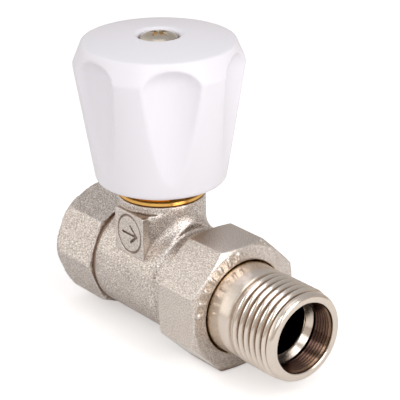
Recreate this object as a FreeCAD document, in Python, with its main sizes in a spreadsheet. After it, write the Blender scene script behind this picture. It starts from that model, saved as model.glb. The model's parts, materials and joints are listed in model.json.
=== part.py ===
import FreeCAD
import Part
import os
import re
import Sketcher

# Straight radiator valve with a handwheel and a union tailpiece.
# Row frame: origin at the centre of the inlet mouth, +X along the pipe towards
# the tailpiece, +Z up along the spindle. Each piece is drawn about the valve
# centre, where the pipe axis meets the spindle axis, and its Placement moves it
# there. All sizes are millimetres.

SIZES = {
    # Body forging
    "centre_from_inlet": 24.0,
    "barrel_radius": 12.6,
    "barrel_end": 11.0,
    "collar_flats": 26.0,
    "collar_end": 10.2,
    "collar_corner": 14.2,
    "collar_rim": 13.2,
    "collar_lead": 2.6,
    "groove_root": 12.1,
    "groove_width": 0.7,
    "neck_radius": 10.08,
    "neck_top": 18.5,
    "neck_fillet": 4.0,
    "plaque_left": 3.1,
    "plaque_right": 6.9,
    "plaque_face": 11.0,
    "plaque_bottom": 6.6,
    "plaque_top": 16.8,
    "plaque_corner": 1.1,
    "plaque_root": 9.2,
    "plaque_blend_across": 9.19,
    "plaque_blend_back": 4.15,
    # Waterway in the body
    "inlet_minor": 9.32,
    "inlet_depth": 12.0,
    "inlet_bore": 7.5,
    "inlet_bore_end": 11.0,
    "under_seat_top": 3.0,
    "under_seat_bottom": 9.4,
    "under_seat_half": 5.5,
    "seat_bore": 5.0,
    "seat_land": 6.2,
    "seat_top": 0.8,
    "chamber_radius": 7.6,
    "chamber_floor": 0.5,
    "bridge_half": 5.4,
    "bridge_top": 7.0,
    "outlet_bore": 8.0,
    "outlet_bore_start": 9.0,
    # Bonnet joint
    "bonnet_thread": 8.5,
    "bonnet_thread_start": 8.4,
    "rim_counterbore": 9.4,
    "rim_depth": 1.7,
    # Union spigot and seal pocket
    "spigot_root": 11.9,
    "spigot_thread": 13.2,
    "spigot_thread_start": 16.5,
    "spigot_end": 24.0,
    "pocket_radius": 9.3,
    "pocket_start": 19.5,
    # Bonnet
    "flange_radius": 10.0,
    "flange_top": 20.2,
    "bonnet_flats": 17.0,
    "bonnet_hex_top": 24.2,
    "column_radius": 7.8,
    "column_top": 31.0,
    "bonnet_bottom": 8.6,
    "bonnet_cavity": 7.0,
    "bonnet_cavity_top": 12.2,
    "packing_bore": 6.0,
    "packing_floor": 21.0,
    "groove_radius": 7.9,
    "bonnet_seal_section": 0.72,
    "bonnet_edge": 0.35,
    "bonnet_corner": 0.7,
    # Spindle
    "stem_radius": 3.5,
    "spindle_thread": 5.0,
    "spindle_thread_start": 9.6,
    "spindle_thread_end": 17.1,
    "tail_pin": 2.45,
    "tail_pin_start": 5.25,
    "clip_height": 6.8,
    "clip_groove": 1.5,
    "clip_groove_half": 0.6,
    "drive_start": 37.0,
    "drive_end": 47.0,
    "drive_flats": 6.0,
    # Packing, from the floor of the packing box upwards
    "packing_ring": 1.0,
    "stem_seal_section": 1.15,
    "gland_flats": 14.0,
    "gland_top": 34.5,
    # Plug
    "plug_radius": 7.2,
    "plug_bottom": 1.4,
    "plug_shoulder": 4.2,
    "plug_stem": 3.9,
    "plug_top": 8.2,
    "plug_socket": 2.6,
    "plug_socket_floor": 5.2,
    "seal_radius": 6.6,
    "seal_thickness": 2.0,
    "seal_gap": 0.05,
    "washer_radius": 3.6,
    "washer_thickness": 0.6,
    "seal_screw_head": 2.6,
    "seal_screw_height": 1.6,
    "seal_screw_slot": 0.7,
    "seal_screw_shank": 1.45,
    "seal_screw_top": 4.3,
    "clip_wire": 0.45,
    "clip_reach": 4.2,
    "clip_spacing": 2.05,
    # Handwheel
    "wheel_bottom": 22.1,
    "wheel_bottom_radius": 14.82,
    "wheel_edge": 0.8,
    "wheel_shoulder": 49.5,
    "wheel_shoulder_radius": 19.18,
    "wheel_top": 54.3,
    "wheel_top_radius": 17.16,
    "wheel_hollow": 12.6,
    "wheel_hollow_top_radius": 12.2,
    "wheel_dome": 1.5,
    "wheel_ceiling": 50.6,
    "hub_radius": 7.2,
    "hub_bottom": 36.5,
    "flute_radius": 9.4,
    "flute_distance": 24.75,
    "flute_shoulder": 48.5,
    "flute_dome": 5.0,
    "flute_angle": 30.0,
    "screw_recess": 4.65,
    "screw_recess_lip": 0.7,
    "screw_recess_floor": 52.4,
    "screw_way": 2.2,
    "insert_radius": 5.0,
    "insert_bottom": 37.5,
    "insert_top": 48.4,
    "insert_groove_depth": 0.5,
    "insert_groove_width": 1.2,
    "wheel_washer_radius": 4.5,
    "wheel_washer_thickness": 0.6,
    "screw_head": 4.4,
    "screw_head_height": 3.0,
    "screw_slot_half": 1.9,
    "screw_slot_width": 0.85,
    "screw_shank": 1.95,
    "screw_bottom": 39.0,
    # Tailpiece and union nut
    "nose_radius": 9.2,
    "nose_start": 20.5,
    "nose_groove": 7.7,
    "nose_groove_start": 21.7,
    "nose_groove_width": 1.6,
    "nose_seal_section": 0.75,
    "tail_flange": 12.4,
    "tail_flange_end": 25.95,
    "tail_plain": 10.3,
    "tail_thread": 10.4775,
    "tail_thread_start": 35.0,
    "tail_end": 48.2,
    "tail_end_radius": 9.6,
    "tail_bore": 6.5,
    "tail_step": 41.0,
    "tail_mouth": 7.83,
    "nut_flats": 28.9,
    "nut_rear": 16.2,
    "nut_front": 28.5,
    "nut_shoulder": 26.0,
    "nut_thread": 13.25,
    "nut_hole": 11.06,
    "nut_lead": 1.2,
    "nut_face_drop": 0.25,
    "running_gap": 0.05,
}

FLUTES = 6


def in_sheet(text):
    """Write a size expression in the sheet's names."""
    def named(word):
        """Put the sheet's name before a size, and leave a function's name alone."""
        return "Sizes." + word.group(0) if word.group(0) in SIZES else word.group(0)

    return re.sub(r"[a-z_]{4,}", named, text)


def make_sheet(doc):
    """Keep the driving dimensions in a spreadsheet, one alias to each cell."""
    sheet = doc.addObject("Spreadsheet::Sheet", "Sizes")
    for row, (alias, value) in enumerate(SIZES.items(), start=1):
        sheet.set("A%d" % row, alias)
        sheet.set("B%d" % row, str(value))
        sheet.setAlias("B%d" % row, alias)
    doc.recompute()
    return sheet


def bind(obj, prop, text):
    """Bind one property to a size expression."""
    obj.setExpression(prop, in_sheet(text))


def new_body(doc, label):
    """Start a piece that is drawn about the valve centre."""
    body = doc.addObject("PartDesign::Body", label)
    body.Label = label
    bind(body, "Placement.Base.x", "centre_from_inlet")
    return body


def plane(body, role):
    """Find one of a body's own origin planes."""
    return [item for item in body.Origin.OriginFeatures if item.Role == role][0]


def sketch_on(body, name, role, offset=None):
    """Attach a sketch to an origin plane, moved along the plane's normal."""
    sketch = body.newObject("Sketcher::SketchObject", name)
    sketch.AttachmentSupport = [(plane(body, role), "")]
    sketch.MapMode = "FlatFace"
    if offset:
        bind(sketch, "AttachmentOffset.Base.z", offset)
    return sketch


def outline(sketch, corners):
    """Draw a closed outline whose corners are bound to size expressions."""
    count = len(corners)
    for index in range(count):
        start = FreeCAD.Vector(index + 1.0, index * index + 1.0, 0)
        after = (index + 1) % count
        end = FreeCAD.Vector(after + 1.0, after * after + 1.0, 0)
        sketch.addGeometry(Part.LineSegment(start, end), False)
    for index in range(count):
        sketch.addConstraint(Sketcher.Constraint("Coincident", index, 2, (index + 1) % count, 1))
    for index, corner in enumerate(corners):
        for kind, axis, text in (("DistanceX", -2, corner[0]), ("DistanceY", -1, corner[1])):
            if text == "0":
                sketch.addConstraint(Sketcher.Constraint("PointOnObject", index, 1, axis))
                continue
            number = sketch.addConstraint(Sketcher.Constraint(kind, -1, 1, index, 1, index + 1.0))
            bind(sketch, "Constraints[%d]" % number, text)
    return sketch


def ring_sketch(sketch, radius, across="0"):
    """Draw one circle, centred on the sketch's origin or a distance along its X."""
    sketch.addGeometry(Part.Circle(FreeCAD.Vector(1, 0, 0), FreeCAD.Vector(0, 0, 1), 2), False)
    sketch.addConstraint(Sketcher.Constraint("PointOnObject", 0, 3, -1))
    if across == "0":
        sketch.addConstraint(Sketcher.Constraint("PointOnObject", 0, 3, -2))
    else:
        number = sketch.addConstraint(Sketcher.Constraint("DistanceX", -1, 1, 0, 3, 1.0))
        bind(sketch, "Constraints[%d]" % number, across)
    number = sketch.addConstraint(Sketcher.Constraint("Radius", 0, 2.0))
    bind(sketch, "Constraints[%d]" % number, radius)
    return sketch


def turn(body, name, axis, corners, cut=False):
    """Turn an outline about the spindle axis (V) or the pipe axis (H)."""
    sketch = outline(sketch_on(body, name + "_outline", "XZ_Plane"), corners)
    kind = "PartDesign::Groove" if cut else "PartDesign::Revolution"
    feature = body.newObject(kind, name)
    feature.Profile = sketch
    feature.ReferenceAxis = (sketch, [axis + "_Axis"])
    feature.Angle = 360
    feature.Refine = False
    return feature


def tube(body, name, axis, inner, outer, low, high, cut=False):
    """Turn a plain ring between two radii and two positions along its axis."""
    spans = [(inner, low), (outer, low), (outer, high), (inner, high)]
    if axis == "H":
        spans = [(along, radius) for radius, along in spans]
    return turn(body, name, axis, spans, cut)


def pad(body, sketch, name, length, cut=False, backwards=False):
    """Pad or pocket a sketch to a bound length."""
    feature = body.newObject("PartDesign::Pocket" if cut else "PartDesign::Pad", name)
    feature.Profile = sketch
    feature.Reversed = backwards
    feature.Refine = False
    bind(feature, "Length", length)
    return feature


def prism(body, name, role, sides, flats, low, length, turned=0, cut=False):
    """Add or cut a regular prism that is measured across its flats."""
    feature = body.newObject("PartDesign::SubtractivePrism" if cut else "PartDesign::AdditivePrism", name)
    feature.AttachmentSupport = [(plane(body, role), "")]
    feature.MapMode = "FlatFace"
    feature.Polygon = sides
    feature.Refine = False
    about = FreeCAD.Rotation(FreeCAD.Vector(0, 0, 1), turned)
    feature.AttachmentOffset = FreeCAD.Placement(FreeCAD.Vector(), about)
    bind(feature, "AttachmentOffset.Base.z", low)
    bind(feature, "Circumradius", "(%s) / 2 / cos(%g deg)" % (flats, 180.0 / sides))
    bind(feature, "Height", length)
    return feature


def torus(doc, label, axis, ring, section, along):
    """Make a seal ring about the spindle axis or the pipe axis."""
    seal = doc.addObject("Part::Torus", label)
    seal.Label = label
    bind(seal, "Radius1", ring)
    bind(seal, "Radius2", section)
    if axis == "H":
        seal.Placement = FreeCAD.Placement(FreeCAD.Vector(), FreeCAD.Rotation(FreeCAD.Vector(0, 1, 0), 90))
        bind(seal, "Placement.Base.x", "centre_from_inlet + " + along)
    else:
        bind(seal, "Placement.Base.x", "centre_from_inlet")
        bind(seal, "Placement.Base.z", along)
    return seal


def soften(body, name, radius, edges):
    """Fillet the edges of a body's tip that a test picks out."""
    body.Document.recompute()
    base = body.Tip
    picked = ["Edge%d" % number for number, edge in enumerate(base.Shape.Edges, start=1) if edges(edge)]
    feature = body.newObject("PartDesign::Fillet", name)
    feature.Base = (base, picked)
    bind(feature, "Radius", radius)
    return feature


def chamfered_ends(body, name, low, high, radius, lead, far):
    """Turn the corners of a prism about the pipe axis down to a cone at both ends."""
    turn(body, name + "_rear", "H", [(low, radius), (low, far), (low + " + " + lead, far)], cut=True)
    turn(body, name + "_front", "H", [(high, radius), (high, far), (high + " - " + lead, far)], cut=True)


def make_valve_body(doc):
    """The forging: collar, barrel, neck, plaque, union spigot and waterway."""
    body = new_body(doc, "valve_body")
    sketch = ring_sketch(sketch_on(body, "barrel_outline", "YZ_Plane", "-collar_end - 8"), "barrel_radius")
    pad(body, sketch, "barrel", "collar_end + barrel_end + 16")
    sketch = ring_sketch(sketch_on(body, "neck_outline", "XY_Plane"), "neck_radius")
    pad(body, sketch, "neck", "neck_top")
    soften(body, "neck_root", "neck_fillet", is_branch_edge)
    inlet = "-centre_from_inlet"
    clear = "barrel_radius + 20"
    tube(body, "spigot_turning", "H", "spigot_root", clear, "barrel_end", "spigot_end + 5", cut=True)
    tube(body, "collar_turning", "H", "barrel_radius", clear, inlet, "-collar_end", cut=True)
    tube(body, "spigot_core", "H", "0", "spigot_root", "barrel_end - 1", "spigot_end")
    tube(body, "spigot_land", "H", "0", "spigot_thread", "spigot_thread_start", "spigot_end")
    prism(body, "collar", "YZ_Plane", 8, "collar_flats", inlet, "centre_from_inlet - collar_end")
    turn(body, "collar_lead_cone", "H", [
        (inlet, "collar_rim"),
        (inlet, "collar_corner"),
        (inlet + " + collar_lead", "collar_corner"),
    ], cut=True)
    groove_end = "-collar_end + groove_width"
    tube(body, "collar_groove", "H", "groove_root", "collar_corner", "-collar_end", groove_end, cut=True)
    add_plaque(body)
    cut_waterway(body)
    return body


def is_branch_edge(edge):
    """Pick the edge where the neck runs into the barrel."""
    return not isinstance(edge.Curve, (Part.Line, Part.Circle)) and edge.BoundBox.ZMin > 1


def add_plaque(body):
    """The raised plaque on the -Y side, with two cut corners and a root into the neck."""
    corners = [
        ("-plaque_left", "plaque_bottom"),
        ("plaque_right", "plaque_bottom"),
        ("plaque_right", "plaque_top - plaque_corner / 2"),
        ("plaque_right - plaque_corner", "plaque_top"),
        ("plaque_corner - plaque_left", "plaque_top"),
        ("-plaque_left", "plaque_top - plaque_corner / 2"),
    ]
    sketch = outline(sketch_on(body, "plaque_outline", "XZ_Plane", "plaque_face"), corners)
    pad(body, sketch, "plaque", "plaque_face - 6", backwards=True)
    sketch = outline(sketch_on(body, "plaque_root_outline", "XY_Plane", "plaque_bottom"), [
        ("-plaque_left", "-plaque_root"),
        ("plaque_right", "-plaque_root"),
        ("plaque_blend_across", "-plaque_blend_back"),
        ("-plaque_left", "-plaque_blend_back"),
    ])
    pad(body, sketch, "plaque_root", "plaque_top - plaque_bottom")


def cut_waterway(body):
    """Inlet, the room under the seat, the seat, the chamber and the outlet."""
    inlet = "-centre_from_inlet"
    tube(body, "inlet_thread", "H", "0", "inlet_minor", inlet, inlet + " + inlet_depth", cut=True)
    tube(body, "inlet_way", "H", "0", "inlet_bore", inlet, "-inlet_bore_end", cut=True)
    corners = [
        ("-inlet_bore_end - 1", "-under_seat_bottom + 3"),
        ("-inlet_bore_end + 2", "-under_seat_bottom"),
        ("seat_bore", "-under_seat_bottom"),
        ("seat_bore", "-under_seat_top"),
        ("-inlet_bore_end - 1", "-under_seat_top"),
    ]
    sketch = outline(sketch_on(body, "under_seat_outline", "XZ_Plane", "-under_seat_half"), corners)
    pad(body, sketch, "under_seat", "under_seat_half * 2", cut=True, backwards=True)
    tube(body, "seat_hole", "V", "0", "seat_bore", "-under_seat_top - 1", "seat_top", cut=True)
    tube(body, "chamber", "V", "0", "chamber_radius", "seat_top", "neck_top", cut=True)
    tube(body, "seat_moat", "V", "seat_land", "chamber_radius", "-chamber_floor", "seat_top", cut=True)
    corners = [
        ("seat_land", "-chamber_floor"),
        ("outlet_bore_start + 1", "-chamber_floor"),
        ("outlet_bore_start + 1", "bridge_top"),
        ("seat_land", "bridge_top"),
    ]
    sketch = outline(sketch_on(body, "bridge_outline", "XZ_Plane", "-bridge_half"), corners)
    pad(body, sketch, "bridge", "bridge_half * 2", cut=True, backwards=True)
    tube(body, "outlet_way", "H", "0", "outlet_bore", "outlet_bore_start", "spigot_end", cut=True)
    tube(body, "seal_pocket", "H", "0", "pocket_radius", "pocket_start", "spigot_end", cut=True)
    tube(body, "bonnet_bore", "V", "0", "bonnet_thread", "bonnet_thread_start", "neck_top", cut=True)
    tube(body, "rim_pocket", "V", "0", "rim_counterbore", "neck_top - rim_depth", "neck_top", cut=True)


def make_bonnet(doc):
    """The brass bonnet that screws into the neck and guides the spindle."""
    body = new_body(doc, "bonnet")
    thread = "bonnet_thread - running_gap"
    corners = [
        ("bonnet_cavity", "bonnet_bottom"),
        (thread, "bonnet_bottom"),
        (thread, "neck_top - rim_depth"),
        ("groove_radius", "neck_top - rim_depth"),
        ("groove_radius", "neck_top"),
        ("flange_radius - bonnet_edge", "neck_top"),
        ("flange_radius", "neck_top + bonnet_edge"),
        ("flange_radius", "flange_top - bonnet_corner"),
        ("flange_radius - bonnet_corner", "flange_top"),
        ("column_radius", "flange_top"),
        ("column_radius", "column_top - bonnet_corner"),
        ("column_radius - bonnet_corner", "column_top"),
        ("packing_bore", "column_top"),
        ("packing_bore", "packing_floor"),
        ("spindle_thread + running_gap", "packing_floor"),
        ("spindle_thread + running_gap", "bonnet_cavity_top"),
        ("bonnet_cavity", "bonnet_cavity_top"),
    ]
    turn(body, "bonnet_turning", "V", corners)
    corner = "bonnet_flats / 2 / cos(30 deg)"
    turn(body, "hex_blank", "V", [
        ("packing_bore + 0.5", "flange_top"),
        (corner, "flange_top"),
        (corner, "bonnet_hex_top - bonnet_corner"),
        ("bonnet_flats / 2", "bonnet_hex_top"),
        ("packing_bore + 0.5", "bonnet_hex_top"),
    ])
    mill_flats(body, "wrench_flat", 6, "bonnet_flats / 2", "flange_top", "bonnet_hex_top", "flange_radius")
    return body


def mill_flats(body, name, count, reach, low, high, width):
    """Mill flats round a turned blank, one pocket turned about the spindle axis."""
    sketch = outline(sketch_on(body, name + "_outline", "XZ_Plane", "-(%s)" % width), [
        (reach, low),
        (reach + " + 4", low),
        (reach + " + 4", high),
        (reach, high),
    ])
    flat = pad(body, sketch, name, "(%s) * 2" % width, cut=True, backwards=True)
    body.Document.recompute()
    pattern = body.newObject("PartDesign::PolarPattern", name + "s")
    pattern.Originals = [flat]
    pattern.Axis = (sketch, ["V_Axis"])
    pattern.Angle = 360
    pattern.Occurrences = count
    body.Tip = pattern
    return pattern


def make_spindle(doc):
    """The turned spindle: pin with clip groove, screw, smooth stem and hexagon drive."""
    body = new_body(doc, "spindle")
    corners = [
        ("0", "tail_pin_start"),
        ("tail_pin - 0.3", "tail_pin_start"),
        ("tail_pin", "tail_pin_start + 0.3"),
        ("tail_pin", "clip_height - clip_groove_half"),
        ("clip_groove", "clip_height - clip_groove_half"),
        ("clip_groove", "clip_height + clip_groove_half"),
        ("tail_pin", "clip_height + clip_groove_half"),
        ("tail_pin", "spindle_thread_start"),
        ("spindle_thread - 0.7", "spindle_thread_start"),
        ("spindle_thread", "spindle_thread_start + 0.7"),
        ("spindle_thread", "spindle_thread_end - 0.7"),
        ("spindle_thread - 0.7", "spindle_thread_end"),
        ("stem_radius", "spindle_thread_end"),
        ("stem_radius", "drive_start"),
        ("0", "drive_start"),
    ]
    turn(body, "spindle_turning", "V", corners)
    prism(body, "drive", "XY_Plane", 6, "drive_flats", "drive_start", "drive_end - drive_start")
    hole = "screw_shank + running_gap"
    tube(body, "screw_hole", "V", "0", hole, "screw_bottom - 0.5", "drive_end", cut=True)
    return body


def make_packing(doc):
    """The stack in the packing box: ring, seal, spacer, seal, ring."""
    pitch = "(packing_ring + stem_seal_section * 2 + running_gap * 2)"
    outer = "packing_bore - running_gap"
    inner = "stem_radius + running_gap"
    for step, label in enumerate(("packing_washer_lower", "packing_spacer", "packing_washer_upper")):
        low = "packing_floor + %d * %s" % (step, pitch)
        tube(new_body(doc, label), label + "_ring", "V", inner, outer, low, low + " + packing_ring")
    for step, label in enumerate(("stem_o_ring_lower", "stem_o_ring_upper")):
        along = "packing_floor + %d * %s + packing_ring + stem_seal_section + running_gap" % (step, pitch)
        torus(doc, label, "V", "(stem_radius + packing_bore) / 2", "stem_seal_section", along)


def make_gland_nut(doc):
    """The hexagon gland nut that closes the packing box."""
    body = new_body(doc, "gland_nut")
    inner = "stem_radius + running_gap"
    foot = "packing_floor + 3 * packing_ring + 4 * stem_seal_section + 5 * running_gap"
    corner = "gland_flats / 2 / cos(30 deg)"
    turn(body, "gland_turning", "V", [
        (inner, foot),
        ("packing_bore - running_gap", foot),
        ("packing_bore - running_gap", "column_top"),
        (corner, "column_top"),
        (corner, "gland_top - 0.6"),
        (corner + " - 1", "gland_top"),
        (inner, "gland_top"),
    ])
    mill_flats(body, "gland_flat", 6, "gland_flats / 2", "column_top", "gland_top", "gland_flats / 2")
    return body


def make_plug(doc):
    """The plug that holds the seal, with a socket for the spindle's pin."""
    body = new_body(doc, "plug")
    turn(body, "plug_turning", "V", [
        ("0", "seat_top + seal_gap + seal_thickness"),
        ("seal_radius + 0.05", "seat_top + seal_gap + seal_thickness"),
        ("seal_radius + 0.05", "plug_bottom"),
        ("plug_radius", "plug_bottom"),
        ("plug_radius", "plug_shoulder - 0.5"),
        ("plug_radius - 0.5", "plug_shoulder"),
        ("plug_stem", "plug_shoulder"),
        ("plug_stem", "plug_top"),
        ("plug_socket", "plug_top"),
        ("plug_socket", "plug_socket_floor"),
        ("0", "plug_socket_floor"),
    ])
    shank = "seal_screw_shank + running_gap"
    tube(body, "screw_hole", "V", "0", shank, "seat_top", "seal_screw_top + 0.2", cut=True)
    for name, side in (("clip_hole_left", "clip_spacing"), ("clip_hole_right", "-clip_spacing")):
        sketch = sketch_on(body, name + "_outline", "YZ_Plane", "-plug_radius")
        ring_sketch(sketch, "clip_wire + running_gap", side)
        bind(sketch, "AttachmentOffset.Base.y", "clip_height")
        pad(body, sketch, name, "plug_radius * 2", cut=True, backwards=True)
    return body


def make_plug_clip(doc):
    """The wire clip: two legs beside the spindle's groove, joined by a half ring."""
    across = FreeCAD.Rotation(FreeCAD.Vector(0, 1, 0), 90)
    wires = []
    for name, side in (("clip_leg_left", "clip_spacing"), ("clip_leg_right", "-clip_spacing")):
        leg = doc.addObject("Part::Cylinder", name)
        leg.Placement = FreeCAD.Placement(FreeCAD.Vector(), across)
        bind(leg, "Radius", "clip_wire")
        bind(leg, "Height", "clip_reach * 2")
        bind(leg, "Placement.Base.x", "-clip_reach")
        bind(leg, "Placement.Base.y", side)
        bind(leg, "Placement.Base.z", "clip_height")
        wires.append(leg)
    bend = doc.addObject("Part::Torus", "clip_bend")
    bend.Placement = FreeCAD.Placement(FreeCAD.Vector(), FreeCAD.Rotation(FreeCAD.Vector(0, 0, 1), -90))
    bend.Angle3 = 180
    bind(bend, "Radius1", "clip_spacing")
    bind(bend, "Radius2", "clip_wire")
    bind(bend, "Placement.Base.x", "clip_reach")
    bind(bend, "Placement.Base.z", "clip_height")
    wires.append(bend)
    clip = doc.addObject("Part::MultiFuse", "plug_clip")
    clip.Label = "plug_clip"
    clip.Shapes = wires
    bind(clip, "Placement.Base.x", "centre_from_inlet")
    return clip


def make_seal_parts(doc):
    """The soft seal under the plug, its washer and its screw."""
    low = "seat_top + seal_gap"
    hole = "seal_screw_shank + running_gap"
    tube(new_body(doc, "plug_seal"), "seal_disc", "V", hole, "seal_radius", low, low + " + seal_thickness")
    head = low + " - washer_thickness"
    tube(new_body(doc, "seal_washer"), "washer_disc", "V", hole, "washer_radius", head, low)
    screw = new_body(doc, "seal_screw")
    turn(screw, "seal_screw_turning", "V", [
        ("0", head + " - seal_screw_height"),
        ("seal_screw_head - 0.4", head + " - seal_screw_height"),
        ("seal_screw_head", head + " - seal_screw_height + 0.4"),
        ("seal_screw_head", head),
        ("seal_screw_shank", head),
        ("seal_screw_shank", "seal_screw_top"),
        ("0", "seal_screw_top"),
    ])
    slot = outline(sketch_on(screw, "slot_outline", "YZ_Plane", "-seal_screw_head"), [
        ("-seal_screw_slot / 2", head + " - seal_screw_height"),
        ("seal_screw_slot / 2", head + " - seal_screw_height"),
        ("seal_screw_slot / 2", head + " - seal_screw_height / 2"),
        ("-seal_screw_slot / 2", head + " - seal_screw_height / 2"),
    ])
    pad(screw, slot, "slot", "seal_screw_head * 2", cut=True, backwards=True)


def make_handwheel(doc):
    """The moulded handwheel: fluted shell, domed top, hub and screw recess."""
    body = new_body(doc, "handwheel")
    rim = "wheel_top + wheel_dome * 0.9"
    roof = "insert_top + running_gap"
    turn(body, "wheel_turning", "V", [
        ("wheel_hollow", "wheel_bottom"),
        ("wheel_bottom_radius - wheel_edge", "wheel_bottom"),
        ("wheel_bottom_radius + 0.1", "wheel_bottom + wheel_edge"),
        ("wheel_shoulder_radius", "wheel_shoulder"),
        ("wheel_top_radius", "wheel_top"),
        ("wheel_top_radius * 0.8", "wheel_top + wheel_dome * 0.36"),
        ("wheel_top_radius * 0.55", "wheel_top + wheel_dome * 0.7"),
        ("screw_recess + screw_recess_lip", rim),
        ("screw_recess", rim + " - screw_recess_lip"),
        ("screw_recess", "screw_recess_floor"),
        ("screw_way", "screw_recess_floor"),
        ("screw_way", roof),
        ("insert_radius + running_gap / 2", roof),
        ("insert_radius + running_gap / 2", "hub_bottom"),
        ("hub_radius", "hub_bottom"),
        ("hub_radius + 0.4", "wheel_ceiling"),
        ("wheel_hollow_top_radius", "wheel_ceiling"),
    ])
    wall = "flute_distance - flute_radius"
    cutter = outline(sketch_on(body, "flute_outline", "XZ_Plane"), [
        (wall, "wheel_bottom - 1"),
        ("flute_distance", "wheel_bottom - 1"),
        ("flute_distance", "flute_shoulder + flute_dome"),
        (wall + " + flute_dome", "flute_shoulder + flute_dome"),
        (wall + " + flute_dome * (1 - cos(45 deg))", "flute_shoulder + flute_dome * sin(45 deg)"),
        (wall, "flute_shoulder"),
    ])
    flute = body.newObject("PartDesign::Groove", "flute")
    flute.Profile = cutter
    flute.ReferenceAxis = (cutter, ["Edge2"])
    flute.Angle = 360
    body.Document.recompute()
    pattern = body.newObject("PartDesign::PolarPattern", "flutes")
    pattern.Originals = [flute]
    pattern.Axis = (cutter, ["V_Axis"])
    pattern.Angle = 360
    pattern.Occurrences = FLUTES
    body.Tip = pattern
    bind(body, "Placement.Rotation.Angle", "flute_angle")
    return body


def make_wheel_fixings(doc):
    """The brass insert in the hub, the washer and the screw that holds the wheel."""
    insert = new_body(doc, "handwheel_insert")
    tube(insert, "insert_turning", "V", "0", "insert_radius", "insert_bottom", "insert_top")
    prism(insert, "drive_socket", "XY_Plane", 6, "drive_flats + running_gap * 2", "insert_bottom",
          "drive_end - insert_bottom + running_gap", cut=True)
    tube(insert, "screw_way_bore", "V", "0", "screw_way", "insert_bottom", "insert_top", cut=True)
    root = "insert_radius - insert_groove_depth"
    for step in range(2):
        low = "insert_bottom + insert_groove_width * %d" % (3 * step + 2)
        high = low + " + insert_groove_width"
        tube(insert, "insert_groove_%d" % step, "V", root, "insert_radius + 1", low, high, cut=True)
    washer = new_body(doc, "handwheel_washer")
    hole = "screw_shank + running_gap"
    low = "screw_recess_floor + running_gap"
    high = low + " + wheel_washer_thickness"
    tube(washer, "washer_disc", "V", hole, "wheel_washer_radius", low, high)
    screw = new_body(doc, "handwheel_screw")
    seat = "screw_recess_floor + wheel_washer_thickness + running_gap * 2"
    turn(screw, "screw_turning", "V", [
        ("0", "screw_bottom"),
        ("screw_shank - 0.5", "screw_bottom"),
        ("screw_shank", "screw_bottom + 0.5"),
        ("screw_shank", seat),
        ("screw_head", seat),
        ("screw_head", seat + " + screw_head_height * 0.45"),
        ("screw_head * 0.85", seat + " + screw_head_height * 0.72"),
        ("screw_head * 0.55", seat + " + screw_head_height * 0.92"),
        ("0", seat + " + screw_head_height"),
    ])
    for name, role in (("cross_slot_a", "YZ_Plane"), ("cross_slot_b", "XZ_Plane")):
        slot = outline(sketch_on(screw, name + "_outline", role, "-screw_slot_half"), [
            ("-screw_slot_width / 2", seat + " + screw_head_height * 0.4"),
            ("screw_slot_width / 2", seat + " + screw_head_height * 0.4"),
            ("screw_slot_width / 2", seat + " + screw_head_height + 1"),
            ("-screw_slot_width / 2", seat + " + screw_head_height + 1"),
        ])
        pad(screw, slot, name, "screw_slot_half * 2", cut=True, backwards=True)


def make_tailpiece(doc):
    """The union tailpiece: sealing nose, flange, plain length and threaded end."""
    body = new_body(doc, "tailpiece")
    face = "spigot_end + running_gap"
    turn(body, "tail_turning", "H", [
        ("nose_start", "tail_bore"),
        ("nose_start", "nose_radius - 0.5"),
        ("nose_start + 0.5", "nose_radius"),
        ("nose_groove_start", "nose_radius"),
        ("nose_groove_start", "nose_groove"),
        ("nose_groove_start + nose_groove_width", "nose_groove"),
        ("nose_groove_start + nose_groove_width", "nose_radius"),
        (face, "nose_radius"),
        (face, "tail_flange"),
        ("tail_flange_end", "tail_flange"),
        ("tail_flange_end", "tail_plain"),
        ("tail_thread_start", "tail_plain"),
        ("tail_thread_start", "tail_thread"),
        ("tail_end - (tail_thread - tail_end_radius)", "tail_thread"),
        ("tail_end", "tail_end_radius"),
        ("tail_end", "tail_mouth"),
        ("tail_step + 1.3", "tail_mouth"),
        ("tail_step", "tail_bore"),
    ])
    torus(doc, "tail_o_ring", "H", "(nose_groove + pocket_radius) / 2 - 0.02", "nose_seal_section",
          "nose_groove_start + nose_groove_width / 2")
    return body


def make_union_nut(doc):
    """The eight-sided union nut that draws the tailpiece onto the spigot."""
    body = new_body(doc, "union_nut")
    prism(body, "nut_blank", "YZ_Plane", 8, "nut_flats", "nut_rear", "nut_front - nut_rear", turned=22.5)
    flat = "nut_flats / 2 - nut_face_drop"
    chamfered_ends(body, "nut_lead_cone", "nut_rear", "nut_front", flat, "nut_lead", "nut_flats / 2 + 1.9")
    tube(body, "nut_bore", "H", "0", "nut_thread", "nut_rear", "nut_shoulder", cut=True)
    tube(body, "nut_front_hole", "H", "0", "nut_hole", "nut_rear", "nut_front", cut=True)
    return body


def export(doc):
    """Check every object, then write each piece to its own file."""
    doc.recompute()
    for item in doc.Objects:
        if "Invalid" in item.State or "Error" in item.State:
            raise RuntimeError("%s failed: %s" % (item.Label, item.State))
    os.makedirs("parts", exist_ok=True)
    for label in PIECES:
        piece = doc.getObjectsByLabel(label)[0]
        if piece.Shape.isNull() or not piece.Shape.isValid():
            raise RuntimeError("%s has no valid shape" % label)
        print("%-22s %9.2f mm3 %d solid" % (label, piece.Shape.Volume, len(piece.Shape.Solids)))
        piece.Shape.exportStep("parts/%s.step" % label)


PIECES = [
    "valve_body",
    "bonnet",
    "bonnet_o_ring",
    "packing_washer_lower",
    "stem_o_ring_lower",
    "packing_spacer",
    "stem_o_ring_upper",
    "packing_washer_upper",
    "gland_nut",
    "spindle",
    "plug",
    "plug_clip",
    "plug_seal",
    "seal_washer",
    "seal_screw",
    "handwheel",
    "handwheel_insert",
    "handwheel_washer",
    "handwheel_screw",
    "tailpiece",
    "tail_o_ring",
    "union_nut",
]


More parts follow.
